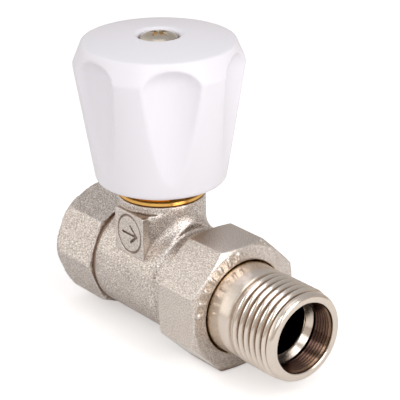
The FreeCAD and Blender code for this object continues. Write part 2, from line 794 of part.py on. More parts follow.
def main():
    """Build the valve and write its pieces."""
    doc = FreeCAD.newDocument("radiator_valve")
    make_sheet(doc)
    make_valve_body(doc)
    make_bonnet(doc)
    middle = "(groove_radius + rim_counterbore) / 2"
    torus(doc, "bonnet_o_ring", "V", middle, "bonnet_seal_section", "neck_top - rim_depth / 2")
    make_packing(doc)
    make_gland_nut(doc)
    make_spindle(doc)
    make_plug(doc)
    make_plug_clip(doc)
    make_seal_parts(doc)
    make_handwheel(doc)
    make_wheel_fixings(doc)
    make_tailpiece(doc)
    make_union_nut(doc)
    export(doc)


main()
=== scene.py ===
"""Looks of a straight radiator valve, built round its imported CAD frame.

Sizes are in millimetres in the classes below and become metres in the Bench, which
does all the modelling. The valve centre is where the pipe axis meets the spindle axis.
"""

import json
import logging
import math
from collections.abc import Callable
from dataclasses import dataclass
from enum import Enum
from functools import cache

import bpy
from mathutils import Matrix, Vector

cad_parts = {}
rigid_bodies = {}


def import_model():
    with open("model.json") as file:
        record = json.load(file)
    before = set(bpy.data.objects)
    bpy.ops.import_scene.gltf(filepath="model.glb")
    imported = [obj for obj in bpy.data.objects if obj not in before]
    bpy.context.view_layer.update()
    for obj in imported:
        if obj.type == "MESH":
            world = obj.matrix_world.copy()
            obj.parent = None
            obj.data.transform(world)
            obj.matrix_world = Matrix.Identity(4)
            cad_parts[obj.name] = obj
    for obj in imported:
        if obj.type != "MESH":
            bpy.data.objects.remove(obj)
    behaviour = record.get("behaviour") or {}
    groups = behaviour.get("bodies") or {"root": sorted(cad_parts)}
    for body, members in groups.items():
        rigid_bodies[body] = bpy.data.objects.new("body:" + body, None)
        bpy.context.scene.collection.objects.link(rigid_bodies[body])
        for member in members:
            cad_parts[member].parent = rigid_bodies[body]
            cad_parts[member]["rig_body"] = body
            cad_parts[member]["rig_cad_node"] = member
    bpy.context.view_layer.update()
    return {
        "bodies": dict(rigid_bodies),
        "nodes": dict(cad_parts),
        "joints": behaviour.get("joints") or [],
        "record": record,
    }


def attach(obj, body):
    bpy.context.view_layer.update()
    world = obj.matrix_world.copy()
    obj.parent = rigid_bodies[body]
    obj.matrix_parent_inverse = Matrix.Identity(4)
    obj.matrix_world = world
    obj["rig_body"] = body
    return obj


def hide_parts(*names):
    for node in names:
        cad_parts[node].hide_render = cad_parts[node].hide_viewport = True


LOG = logging.getLogger("radiator_valve")
MM = 0.001
VALVE_CENTRE = 24.0
TURN = 2 * math.pi
THREAD_STEPS = 96
THREAD_FADE = 0.3
THREAD_BURIED = 0.3
FLANK_SHARE = 0.43
TIP_SHARE = 0.12
TIP_DROP = 0.12
SOFT_ANGLE = 40.0
LATHE_DEPTH = 0.00001
SCATTER_REACH = (0.002, 0.002, 0.002)
Outline = list[tuple[float, float]]
Triple = tuple[float, float, float]


class Axis(Enum):
    """The two axes that round pieces are turned about."""

    PIPE = "X"
    SPINDLE = "Z"


class Cut(Enum):
    """What a boolean tool does to the piece it meets."""

    AWAY = "DIFFERENCE"
    KEEP_SHARED = "INTERSECT"
    ADD = "UNION"


# ---------------------------------------------------------------- modelling


class Bench:
    """The modelling operations that every piece is made with."""

    @staticmethod
    def deselect() -> None:
        """Leave edit mode and clear the selection."""
        if bpy.context.mode != "OBJECT":
            bpy.ops.object.mode_set(mode="OBJECT")
        bpy.ops.object.select_all(action="DESELECT")

    @staticmethod
    def pick(piece: bpy.types.Object) -> None:
        """Make a piece the only selected and the active one."""
        Bench.deselect()
        piece.select_set(True)
        bpy.context.view_layer.objects.active = piece

    @staticmethod
    def settle(piece: bpy.types.Object) -> bpy.types.Object:
        """Put a piece's place in its mesh, so that its object sits at the origin.

        Args:
            piece: The object to settle.

        Returns:
            The same object.
        """
        Bench.pick(piece)
        bpy.ops.object.transform_apply(location=True, rotation=True, scale=True)
        return piece

    @staticmethod
    def face_outwards(piece: bpy.types.Object) -> bpy.types.Object:
        """Merge doubles and point every face outwards.

        Args:
            piece: The mesh to clean.

        Returns:
            The same object.
        """
        Bench.pick(piece)
        bpy.ops.object.mode_set(mode="EDIT")
        bpy.ops.mesh.select_all(action="SELECT")
        bpy.ops.mesh.remove_doubles(threshold=1e-6)
        bpy.ops.mesh.normals_make_consistent(inside=False)
        bpy.ops.object.mode_set(mode="OBJECT")
        return piece

    @staticmethod
    def turned(
        name: str,
        outline: Outline,
        axis: Axis,
        steps: int = 128,
        closed: bool = False,
        off: tuple[float, float] = (0, 0),
    ) -> bpy.types.Object:
        """Turn an outline into a round piece, ring by ring, as on a lathe.

        Args:
            name: The new object's name.
            outline: Pairs of place along the axis and radius, in millimetres.
            axis: The axis to turn about.
            steps: How many flat facets go round.
            closed: Whether the last ring joins the first, as on a tube.
            off: How far along X and Y the axis passes from the valve centre.

        Returns:
            The turned object, at the origin.
        """
        middle = Vector((VALVE_CENTRE + off[0], off[1], 0)) * MM
        pipe = axis is Axis.PIPE
        along = Vector((1, 0, 0)) if pipe else Vector((0, 0, 1))
        place, radius = outline[0]
        Bench.deselect()
        bpy.ops.mesh.primitive_circle_add(
            vertices=steps,
            radius=radius * MM,
            location=middle + along * place * MM,
            rotation=(0, math.pi / 2, 0) if pipe else (0, 0, 0),
            fill_type="NOTHING" if closed else "NGON",
        )
        piece = bpy.context.object
        piece.name = name
        bpy.ops.object.mode_set(mode="EDIT")
        bpy.ops.mesh.select_mode(type="EDGE")
        for next_place, next_radius in outline[1:] + outline[:1] * closed:
            move = along * (next_place - place) * MM
            bpy.ops.mesh.extrude_edges_move(TRANSFORM_OT_translate={"value": move})
            scale = next_radius / radius
            size = (1, scale, scale) if pipe else (scale, scale, 1)
            bpy.ops.transform.resize(value=size, center_override=middle + along * next_place * MM)
            place, radius = next_place, next_radius
        if not closed:
            bpy.ops.mesh.edge_face_add()
        bpy.ops.object.mode_set(mode="OBJECT")
        Bench.settle(piece)
        return Bench.face_outwards(piece)

    @staticmethod
    def boolean(piece: bpy.types.Object, tool: bpy.types.Object, cut: Cut) -> bpy.types.Object:
        """Cut, trim or join a piece with a tool, and put the tool away.

        Args:
            piece: The piece that changes.
            tool: The closed mesh it meets.
            cut: What the tool does.

        Returns:
            The changed piece.
        """
        Bench.pick(piece)
        step = piece.modifiers.new("meet", "BOOLEAN")
        step.operation = cut.value
        step.object = tool
        step.solver = "EXACT"
        bpy.ops.object.modifier_apply(modifier=step.name)
        bpy.data.objects.remove(tool, do_unlink=True)
        return piece

    @staticmethod
    def remesh(piece: bpy.types.Object, voxel: float, passes: int = 1) -> bpy.types.Object:
        """Re-cut a piece in even faces and rub its edges soft.

        Args:
            piece: The closed mesh to re-cut.
            voxel: Size of a face, in millimetres.
            passes: How many times the surface is rubbed.

        Returns:
            The same object.
        """
        Bench.pick(piece)
        step = piece.modifiers.new("recut", "REMESH")
        step.mode = "VOXEL"
        step.voxel_size = voxel * MM
        step.adaptivity = 0.0
        bpy.ops.object.modifier_apply(modifier=step.name)
        rub = piece.modifiers.new("rub", "SMOOTH")
        rub.factor = 0.5
        rub.iterations = passes
        bpy.ops.object.modifier_apply(modifier=rub.name)
        bpy.ops.object.shade_smooth()
        return piece

    @staticmethod
    def bevel(piece: bpy.types.Object, width: float, segments: int, angle: float) -> bpy.types.Object:
        """Round the sharp edges of a piece.

        Args:
            piece: The mesh to round.
            width: Width of the rounding, in millimetres.
            segments: Facets across the rounding.
            angle: Edges sharper than this, in degrees, are rounded.

        Returns:
            The same object.
        """
        Bench.pick(piece)
        step = piece.modifiers.new("round", "BEVEL")
        step.width = width * MM
        step.segments = segments
        step.limit_method = "ANGLE"
        step.angle_limit = math.radians(angle)
        bpy.ops.object.modifier_apply(modifier=step.name)
        return piece

    @staticmethod
    def smooth(piece: bpy.types.Object, angle: float) -> bpy.types.Object:
        """Shade a piece smooth except across edges sharper than an angle in degrees."""
        Bench.pick(piece)
        bpy.ops.object.shade_smooth_by_angle(angle=math.radians(angle))
        return piece

    @staticmethod
    def joined(name: str, pieces: list[bpy.types.Object]) -> bpy.types.Object:
        """Join several meshes into one object.

        Args:
            name: The name of the result.
            pieces: The meshes; the first one stays.

        Returns:
            The joined object.
        """
        Bench.deselect()
        for piece in pieces:
            piece.select_set(True)
        bpy.context.view_layer.objects.active = pieces[0]
        bpy.ops.object.join()
        pieces[0].name = name
        return pieces[0]

    @staticmethod
    def block(name: str, centre: Vector, size: Vector, turn: Triple = (0, 0, 0)) -> bpy.types.Object:
        """Add a plain block to cut with or to add.

        Args:
            name: The object's name.
            centre: Its middle, in millimetres.
            size: Its three edges, in millimetres.
            turn: Its turn about X, Y and Z, in radians.

        Returns:
            The block, settled at the origin.
        """
        Bench.deselect()
        bpy.ops.mesh.primitive_cube_add(size=1, location=centre * MM, rotation=turn)
        piece = bpy.context.object
        piece.name = name
        piece.scale = size * MM
        return Bench.settle(piece)

    @staticmethod
    def prism(name: str, sides: int, flats: float, low: float, high: float) -> bpy.types.Object:
        """Add a regular bar along the pipe axis, with a flat on top.

        Args:
            name: The object's name.
            sides: How many flats it has.
            flats: Size across the flats, in millimetres.
            low: Where it starts along the pipe, from the valve centre.
            high: Where it ends.

        Returns:
            The bar, settled at the origin.
        """
        Bench.deselect()
        half = math.pi / sides
        middle = Vector((VALVE_CENTRE + (low + high) / 2, 0, 0)) * MM
        bpy.ops.mesh.primitive_cylinder_add(
            vertices=sides,
            radius=flats / 2 / math.cos(half) * MM,
            depth=(high - low) * MM,
            location=middle,
            rotation=(0, math.pi / 2, 0),
        )
        piece = bpy.context.object
        piece.name = name
        Bench.settle(piece)
        bpy.ops.object.mode_set(mode="EDIT")
        bpy.ops.mesh.select_all(action="SELECT")
        bpy.ops.transform.rotate(value=half, orient_axis="X", center_override=middle)
        bpy.ops.object.mode_set(mode="OBJECT")
        return piece

    @staticmethod
    def thread(
        name: str, root: float, crest: float, pitch: float, low: float, high: float
    ) -> bpy.types.Object:
        """Wind a thread ridge about the pipe axis, fading into its core at both ends.

        Args:
            name: The object's name.
            root: Radius of the ridge's foot, in millimetres.
            crest: Radius of its rounded top; smaller than root for a nut's thread.
            pitch: Distance from one turn to the next.
            low: Where the ridge's middle starts along the pipe, from the valve centre.
            high: Where the ridge's middle ends.

        Returns:
            The ridge, a closed coil settled at the origin.
        """
        Bench.deselect()
        side = 1 if crest > root else -1
        foot = root - side * THREAD_BURIED
        flank = pitch * FLANK_SHARE
        tip = pitch * TIP_SHARE
        shape = [(-flank, foot), (-flank, root), (-tip, crest - side * TIP_DROP), (0, crest)]
        shape += [(-place, radius) for place, radius in reversed(shape[:-1])]
        bpy.ops.mesh.primitive_circle_add(vertices=len(shape), radius=1, fill_type="NGON")
        piece = bpy.context.object
        piece.name = name
        for corner, (place, radius) in zip(piece.data.vertices, shape):
            corner.co = Vector((radius * MM, 0, place * MM))
        turns = (high - low) / pitch
        step = piece.modifiers.new("wind", "SCREW")
        step.axis = "Z"
        step.angle = TURN * turns
        step.screw_offset = (high - low) * MM
        step.steps = round(THREAD_STEPS * turns)
        step.render_steps = step.steps
        step.use_merge_vertices = False
        step.use_smooth_shade = True
        bpy.ops.object.modifier_apply(modifier=step.name)
        last = len(piece.data.vertices) // len(shape) - 1
        for corner in piece.data.vertices:
            ring = corner.index // len(shape)
            share = min(1.0, min(ring, last - ring) / (THREAD_STEPS * THREAD_FADE))
            radius = math.hypot(corner.co.x, corner.co.y)
            wanted = foot * MM + (radius - foot * MM) * share
            corner.co.x *= wanted / radius
            corner.co.y *= wanted / radius
        piece.rotation_euler = (0, math.pi / 2, 0)
        piece.location = Vector((VALVE_CENTRE + low, 0, 0)) * MM
        Bench.settle(piece)
        Bench.face_outwards(piece)
        return Bench.smooth(piece, SOFT_ANGLE)


# ---------------------------------------------------------------- finishes


class Nodes:
    """A short way to place and join shader nodes in one tree."""

    def __init__(self, tree: bpy.types.NodeTree) -> None:
        """Keep the tree that nodes are added to."""
        self.tree = tree

    def add(self, kind: str, **values: object) -> bpy.types.Node:
        """Add a node and set its properties and inputs.

        Args:
            kind: The node's type, without its ShaderNode prefix.
            values: Properties, or inputs when the name matches one.

        Returns:
            The new node.
        """
        node = self.tree.nodes.new("ShaderNode" + kind)
        for name, value in values.items():
            label = name.replace("_", " ").title()
            if label in node.inputs:
                node.inputs[label].default_value = value
            else:
                setattr(node, name, value)
        return node

    def link(self, source: bpy.types.NodeSocket, target: bpy.types.NodeSocket) -> None:
        """Join an output to an input."""
        self.tree.links.new(source, target)

    def feed(self, socket: bpy.types.NodeSocket, value: object) -> None:
        """Give a socket a number, a colour or another node's output.

        Args:
            socket: The input to fill.
            value: What it takes.
        """
        if isinstance(value, bpy.types.NodeSocket):
            self.link(value, socket)
        else:
            socket.default_value = (*value, 1.0) if isinstance(value, tuple) else value

    def math(
        self, operation: str, first: object, second: object, clamp: bool = False
    ) -> bpy.types.NodeSocket:
        """Add a sum whose sides are numbers or outputs.

        Args:
            operation: The name of the sum.
            first: Its left side.
            second: Its right side.
            clamp: Whether the result stays between 0 and 1.

        Returns:
            The output that holds the result.
        """
        node = self.add("Math", operation=operation, use_clamp=clamp)
        self.feed(node.inputs[0], first)
        self.feed(node.inputs[1], second)
        return node.outputs[0]

    def swing(self, value: bpy.types.NodeSocket, amount: object) -> bpy.types.NodeSocket:
        """Centre a mask on zero and scale it."""
        return self.math("MULTIPLY", self.math("SUBTRACT", value, 0.5), amount)

    def mix(self, share: object, first: object, second: object) -> bpy.types.NodeSocket:
        """Blend two colours.

        Args:
            share: How much of the second shows, a number or an output.
            first: A colour or an output.
            second: A colour or an output.

        Returns:
            The blended colour.
        """
        node = self.add("Mix", data_type="RGBA")
        for index, value in ((0, share), (6, first), (7, second)):
            self.feed(node.inputs[index], value)
        return node.outputs[2]


class Effects:
    """Shader groups that several finishes share, each built once."""

    @staticmethod
    def group(name: str, inputs: dict[str, float], outputs: dict[str, str]) -> tuple[Nodes, dict, dict]:
        """Start a shader group with named sockets.

        Args:
            name: The group's name.
            inputs: Each input's name and value.
            outputs: Each output's name, and its type after NodeSocket.

        Returns:
            The helper that fills the group, what it is given and what it gives back.
        """
        tree = bpy.data.node_groups.new(name, "ShaderNodeTree")
        for label, value in inputs.items():
            socket = tree.interface.new_socket(label, in_out="INPUT", socket_type="NodeSocketFloat")
            socket.default_value = value
        for label, kind in outputs.items():
            tree.interface.new_socket(label, in_out="OUTPUT", socket_type="NodeSocket" + kind)
        given = tree.nodes.new("NodeGroupInput").outputs
        return Nodes(tree), given, tree.nodes.new("NodeGroupOutput").inputs

    @staticmethod
    @cache
    def grain() -> bpy.types.NodeTree:
        """Grain at two sizes: a height for bump, a speckle and a slow patchiness.

        Returns:
            The group.
        """
        nodes, given, result = Effects.group(
            "grain",
            {"Size": 0.3, "Patch Size": 6.0, "Contrast": 0.5},
            {"Height": "Float", "Speckle": "Float", "Patch": "Float"},
        )
        where = nodes.add("TexCoord").outputs["Object"]
        fine_scale = nodes.math("DIVIDE", 1000.0, given["Size"])
        fine = nodes.add("TexNoise", detail=3.0, roughness=0.6)
        pits = nodes.add("TexVoronoi", feature="SMOOTH_F1")
        slow = nodes.add("TexNoise", detail=4.0, roughness=0.55)
        for texture in (fine, pits, slow):
            nodes.link(where, texture.inputs["Vector"])
        nodes.link(fine_scale, fine.inputs["Scale"])
        nodes.link(nodes.math("MULTIPLY", fine_scale, 0.8), pits.inputs["Scale"])
        nodes.link(nodes.math("DIVIDE", 1000.0, given["Patch Size"]), slow.inputs["Scale"])
        depth = nodes.math("MULTIPLY", pits.outputs["Distance"], 0.6)
        nodes.link(nodes.math("ADD", fine.outputs["Fac"], depth), result["Height"])
        spread = nodes.swing(fine.outputs["Fac"], nodes.math("MULTIPLY", given["Contrast"], 4.0))
        nodes.link(nodes.math("ADD", spread, 0.5, True), result["Speckle"])
        nodes.link(slow.outputs["Fac"], result["Patch"])
        return nodes.tree

    @staticmethod
    @cache
    def edge_wear_and_highlight() -> bpy.types.NodeTree:
        """A mask that is 1 along the sharp edges of a piece, partly real wear and partly a painted highlight,
        and a rounded normal.

        Returns:
            The group.
        """
        nodes, given, result = Effects.group(
            "edge_wear_and_highlight", {"Radius": 0.0004, "Amount": 1.0}, {"Edge": "Float", "Normal": "Vector"}
        )
        rounded = nodes.add("Bevel", samples=4)
        nodes.link(given["Radius"], rounded.inputs["Radius"])
        shape = nodes.add("NewGeometry")
        dot = nodes.add("VectorMath", operation="DOT_PRODUCT")
        nodes.link(rounded.outputs["Normal"], dot.inputs[0])
        nodes.link(shape.outputs["Normal"], dot.inputs[1])
        bend = nodes.math("MULTIPLY", nodes.math("SUBTRACT", 1.0, dot.outputs["Value"]), 3.0)
        ridge = nodes.math("MULTIPLY", nodes.math("SUBTRACT", shape.outputs["Pointiness"], 0.515), 14.0)
        worn_and_highlight = nodes.math("MAXIMUM", bend, ridge)
        nodes.link(nodes.math("MULTIPLY", worn_and_highlight, given["Amount"], True), result["Edge"])
        nodes.link(rounded.outputs["Normal"], result["Normal"])
        return nodes.tree

    @staticmethod
    @cache
    def painted_shade() -> bpy.types.NodeTree:
        """A mask that is 1 deep in the corners and bores, where the colour is darkened and browned: painted
        shade with a painted reflection.

        Returns:
            The group.
        """
        nodes, given, result = Effects.group(
            "painted_shade", {"Reach": 0.003, "Amount": 0.8, "Gain": 2.2}, {"Painted Shade": "Float"}
        )
        open_air = nodes.add("AmbientOcclusion", samples=6)
        nodes.link(given["Reach"], open_air.inputs["Distance"])
        deep = nodes.math("MULTIPLY", nodes.math("SUBTRACT", 0.76, open_air.outputs["AO"]), given["Gain"])
        shape = nodes.add("NewGeometry")
        groove = nodes.math("MULTIPLY", nodes.math("SUBTRACT", 0.48, shape.outputs["Pointiness"]), 12.0)
        deep = nodes.math("MAXIMUM", deep, groove, True)
        nodes.link(nodes.math("MULTIPLY", deep, given["Amount"], True), result["Painted Shade"])
        return nodes.tree

    @staticmethod
    @cache
    def turning() -> bpy.types.NodeTree:
        """Fine lathe lines about an axis: a height for bump and a streak.

        Returns:
            The group.
        """
        nodes, given, result = Effects.group(
            "turning",
            {"Along X": 1.0, "Along Z": 0.0, "Spacing": 0.15},
            {"Height": "Float", "Streak": "Float"},
        )
        parts = nodes.add("SeparateXYZ")
        nodes.link(nodes.add("TexCoord").outputs["Object"], parts.inputs[0])
        across = [nodes.math("MULTIPLY", parts.outputs[side], given["Along " + side]) for side in "XZ"]
        along = nodes.math("ADD", *across)
        spaced = nodes.math("DIVIDE", nodes.math("MULTIPLY", along, 1000.0), given["Spacing"])
        lines = nodes.add("TexNoise", noise_dimensions="1D", detail=2.0, roughness=0.7, scale=1.0)
        bands = nodes.add("TexNoise", noise_dimensions="1D", detail=1.0, scale=1.0)
        nodes.link(spaced, lines.inputs["W"])
        nodes.link(nodes.math("MULTIPLY", along, 900.0), bands.inputs["W"])
        nodes.link(lines.outputs["Fac"], result["Height"])
        nodes.link(bands.outputs["Fac"], result["Streak"])
        return nodes.tree


@dataclass(frozen=True)
class Finish:
    """A surface finish: colours, gloss and relief, which builds its own material."""

    name: str
    base: Triple
    dark: Triple
    # Colour of the lightened edges: partly real wear, partly a painted highlight.
    worn_and_highlight: Triple
    metallic: float = 1.0
    roughness: float = 0.4
    rough_swing: float = 0.1
    grain_size: float = 0.3
    grain_bump: float = 0.3
    grain_depth: float = 0.00002
    contrast: float = 0.5
    patch_size: float = 6.0
    edge_radius: float = 0.0004
    edge_amount: float = 1.0
    lathe: tuple[float, float] = (0.0, 0.0)
    lathe_bump: float = 0.0
    lathe_spacing: float = 0.15
    # The next four set the painted shade in corners and bores, tinted brown as a painted reflection.
    painted_shade: Triple = (0.30, 0.17, 0.09)
    painted_shade_reach: float = 0.0
    painted_shade_share: float = 0.8
    painted_shade_gain: float = 2.2
    subsurface: float = 0.0

    def build(self) -> bpy.types.Material:
        """Build the material.

        Returns:
            The material, ready for a piece's slot.
        """
        material = bpy.data.materials.new(self.name)
        material.use_nodes = True
        nodes = Nodes(material.node_tree)
        shader = nodes.tree.nodes["Principled BSDF"]
        grain = self._effect(
            nodes, Effects.grain(), Size=self.grain_size, Patch_Size=self.patch_size, Contrast=self.contrast
        )
        speckle = nodes.math("MULTIPLY", grain["Speckle"], 0.8)
        shade = nodes.math("ADD", speckle, nodes.math("MULTIPLY", grain["Patch"], 0.2))
        colour = nodes.mix(shade, self.dark, self.base)
        rough = nodes.swing(grain["Patch"], self.rough_swing * 2)
        bump = self._bump(nodes, grain["Height"], self.grain_bump, self.grain_depth)
        relief = bump
        # Sharp edges are lightened towards the worn colour: partly real wear, partly a painted highlight.
        if self.edge_amount:
            edge = self._effect(nodes, Effects.edge_wear_and_highlight(), Radius=self.edge_radius, Amount=self.edge_amount)
            colour = nodes.mix(edge["Edge"], colour, self.worn_and_highlight)
            nodes.link(edge["Normal"], bump.inputs["Normal"])
        if self.lathe_bump:
            along_x, along_z = self.lathe
            lathe = self._effect(
                nodes, Effects.turning(), Along_X=along_x, Along_Z=along_z, Spacing=self.lathe_spacing
            )
            rough = nodes.math("ADD", rough, nodes.swing(lathe["Streak"], self.rough_swing))
            relief = self._bump(nodes, lathe["Height"], self.lathe_bump, LATHE_DEPTH)
            nodes.link(bump.outputs["Normal"], relief.inputs["Normal"])
        # Corners and bores are darkened towards a brown or near-black colour: painted shade with a painted
        # reflection.
        if self.painted_shade_reach:
            painted_shade_mask = self._effect(
                nodes,
                Effects.painted_shade(),
                Reach=self.painted_shade_reach,
                Amount=self.painted_shade_share,
                Gain=self.painted_shade_gain,
            )
            colour = nodes.mix(painted_shade_mask["Painted Shade"], colour, self.painted_shade)
        nodes.link(colour, shader.inputs["Base Color"])
        nodes.link(nodes.math("ADD", rough, self.roughness, True), shader.inputs["Roughness"])
        nodes.link(relief.outputs["Normal"], shader.inputs["Normal"])
        shader.inputs["Metallic"].default_value = self.metallic
        if self.subsurface:
            shader.inputs["Subsurface Weight"].default_value = self.subsurface
            shader.inputs["Subsurface Radius"].default_value = SCATTER_REACH
            shader.inputs["Subsurface Scale"].default_value = 1.0
        return material

    def _bump(
        self, nodes: Nodes, height: bpy.types.NodeSocket, strength: float, depth: float
    ) -> bpy.types.Node:
        """Add a relief.

        Args:
            nodes: The material's node helper.
            height: What gives the relief its shape.
            strength: How strongly it shows.
            depth: Its depth, in metres.

        Returns:
            The bump node.
        """
        bump = nodes.add("Bump", strength=strength, distance=depth)
        nodes.link(height, bump.inputs["Height"])
        return bump

    def _effect(
        self, nodes: Nodes, tree: bpy.types.NodeTree, **values: float
    ) -> bpy.types.bpy_prop_collection:
        """Place a shared effect with this finish's own values.

        Args:
            nodes: The material's node helper.
            tree: The effect's group.
            values: Input names, with a low line for each space, and their values.

        Returns:
            What the effect gives back.
        """
        node = nodes.tree.nodes.new("ShaderNodeGroup")
        node.node_tree = tree
        for label, value in values.items():
            node.inputs[label.replace("_", " ")].default_value = value
        return node.outputs


class Paint:
    """The finishes of this valve, each built once."""

    # The colour for corners and bores in these recipes is painted shade with a painted reflection.
    # The third colour in these recipes lightens sharp edges: partly real wear, partly a painted highlight.
    RECIPES: dict[str, Finish] = {
        # The sunk arrow and oval line on the plate are drawn darker than the plate.
        "engraved": Finish(
            "darker_sunk_lines", (0.44, 0.36, 0.30), (0.18, 0.13, 0.10), (0.6, 0.52, 0.45), roughness=0.45,
            grain_size=0.21, grain_bump=0.6, grain_depth=0.00004, contrast=2.0, edge_amount=0.2,
        ),
        # The bore's dark brown base and near-black corners are painted shade; the bright ring crests are a
        # painted highlight.
        "bored": Finish(
            "bore_painted_shade", (0.44, 0.29, 0.19), (0.10, 0.05, 0.03), (0.98, 0.82, 0.62), roughness=0.17,
            rough_swing=0.05, grain_size=0.6, grain_bump=0.05, contrast=0.2, edge_radius=0.0001,
            lathe=(1.0, 0.0), lathe_bump=0.5, painted_shade_reach=0.02, painted_shade=(0.03, 0.012, 0.015),
            painted_shade_share=0.95, painted_shade_gain=2.6,
        ),
        "nickel_cast": Finish(
            "blasted_nickel", (1.0, 0.935, 0.87), (0.29, 0.235, 0.195), (1.0, 0.97, 0.93), roughness=0.34,
            rough_swing=0.08, grain_size=0.21, grain_bump=1.0, grain_depth=0.00006, contrast=4.0,
            painted_shade_reach=0.003, painted_shade=(0.30, 0.165, 0.085), painted_shade_gain=3.2, edge_radius=0.0005,
            edge_amount=0.8,
        ),
        "nut_nickel": Finish(
            "fine_blasted_nickel", (1.0, 0.935, 0.865), (0.40, 0.335, 0.285), (1.0, 0.98, 0.94),
            roughness=0.33, rough_swing=0.08, grain_size=0.19, grain_bump=0.8, grain_depth=0.00005,
            contrast=2.8, painted_shade_reach=0.002, painted_shade=(0.24, 0.13, 0.07), painted_shade_gain=2.6, edge_radius=0.0003,
        ),
        "nickel_turned": Finish(
            "turned_nickel", (0.88, 0.805, 0.715), (0.68, 0.575, 0.47), (0.98, 0.93, 0.86), roughness=0.19,
            rough_swing=0.05, grain_size=0.5, grain_bump=0.1, contrast=0.25, edge_radius=0.0002,
            edge_amount=0.5, lathe=(1.0, 0.0), lathe_bump=0.45, painted_shade_reach=0.003, painted_shade=(0.20, 0.10, 0.05),
        ),
        "brass_polished": Finish(
            "polished_brass", (0.92, 0.55, 0.15), (0.72, 0.36, 0.07), (0.98, 0.76, 0.38), roughness=0.14,
            rough_swing=0.06, grain_size=1.0, grain_bump=0.05, contrast=0.3, edge_radius=0.0002,
            edge_amount=0.15, lathe=(0.0, 1.0), lathe_bump=0.15,
        ),
        "brass_turned": Finish(
            "turned_brass", (0.80, 0.60, 0.28), (0.62, 0.43, 0.16), (0.93, 0.78, 0.46), roughness=0.26,
            grain_size=0.8, grain_bump=0.08, contrast=0.4, edge_radius=0.0002, lathe=(0.0, 1.0),
            lathe_bump=0.35,
        ),
        "spring_steel": Finish(
            "drawn_wire", (0.58, 0.58, 0.60), (0.40, 0.40, 0.42), (0.75, 0.75, 0.76), roughness=0.3,
            grain_size=0.2, grain_bump=0.15, edge_radius=0.0001,
        ),
        "screw_nickel": Finish(
            "plated_screw", (0.72, 0.67, 0.57), (0.52, 0.45, 0.36), (0.92, 0.86, 0.76), roughness=0.24,
            rough_swing=0.08, grain_size=0.6, grain_bump=0.08, contrast=0.3, edge_radius=0.00015,
            edge_amount=0.3, painted_shade_reach=0.0012, painted_shade=(0.10, 0.05, 0.025),
        ),
        "seal_rubber": Finish(
            "moulded_rubber", (0.022, 0.022, 0.023), (0.012, 0.012, 0.012), (0.05, 0.05, 0.05), metallic=0.0,
            roughness=0.55, grain_size=0.15, grain_bump=0.2, edge_radius=0.0001,
        ),
        "ptfe_white": Finish(
            "waxy_white", (0.80, 0.80, 0.77), (0.72, 0.71, 0.68), (0.86, 0.86, 0.84), metallic=0.0,
            roughness=0.42, grain_bump=0.08, edge_radius=0.0001, subsurface=0.2,
        ),
        "wheel_plastic": Finish(
            "white_moulding", (0.84, 0.83, 0.875), (0.836, 0.826, 0.872), (0.90, 0.89, 0.92), metallic=0.0,
            roughness=0.30, rough_swing=0.02, grain_size=0.5, grain_bump=0.05, grain_depth=0.00001,
            contrast=0.2, patch_size=12.0, edge_amount=0.0, subsurface=0.05,
        ),
    }

    @staticmethod
    @cache
    def of(slot: str) -> bpy.types.Material:
        """The material for one of the record's slots, built the first time."""
        return Paint.RECIPES[slot].build()

    @staticmethod
    def dress(piece: bpy.types.Object, slot: str) -> bpy.types.Object:
        """Give a piece one finish.

        Args:
            piece: The piece.
            slot: The record's material slot.

        Returns:
            The same piece.
        """
        piece.data.materials.clear()
        piece.data.materials.append(Paint.of(slot))
        return piece

    @staticmethod
    def pick_out(piece: bpy.types.Object, slot: str, chosen: Callable[[bpy.types.MeshPolygon], bool]) -> None:
        """Give some faces of a piece a second finish.

        Args:
            piece: The piece, dressed already.
            slot: The second finish.
            chosen: Says whether a face takes it.
        """
        piece.data.materials.append(Paint.of(slot))
        for face in piece.data.polygons:
            face.material_index = int(chosen(face))


# ---------------------------------------------------------------- pieces


@dataclass
class SubAssembly:
    """What every group of pieces shares: its body, and how a piece is handed in."""

    body: str

    def hand_in(self, piece: bpy.types.Object, slot: str, *nodes: str) -> bpy.types.Object:
        """Dress a new piece, put it on its body and let it stand for its CAD nodes.

        Args:
            piece: The finished mesh.
            slot: The record's material slot.
            nodes: The CAD nodes that it stands for.

        Returns:
            The same piece.
        """
        if not piece.data.materials:
            Paint.dress(piece, slot)
        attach(piece, self.body)
        if nodes:
            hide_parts(*nodes)
        LOG.info("%s: %d faces on %s", piece.name, len(piece.data.polygons), self.body)
        return piece


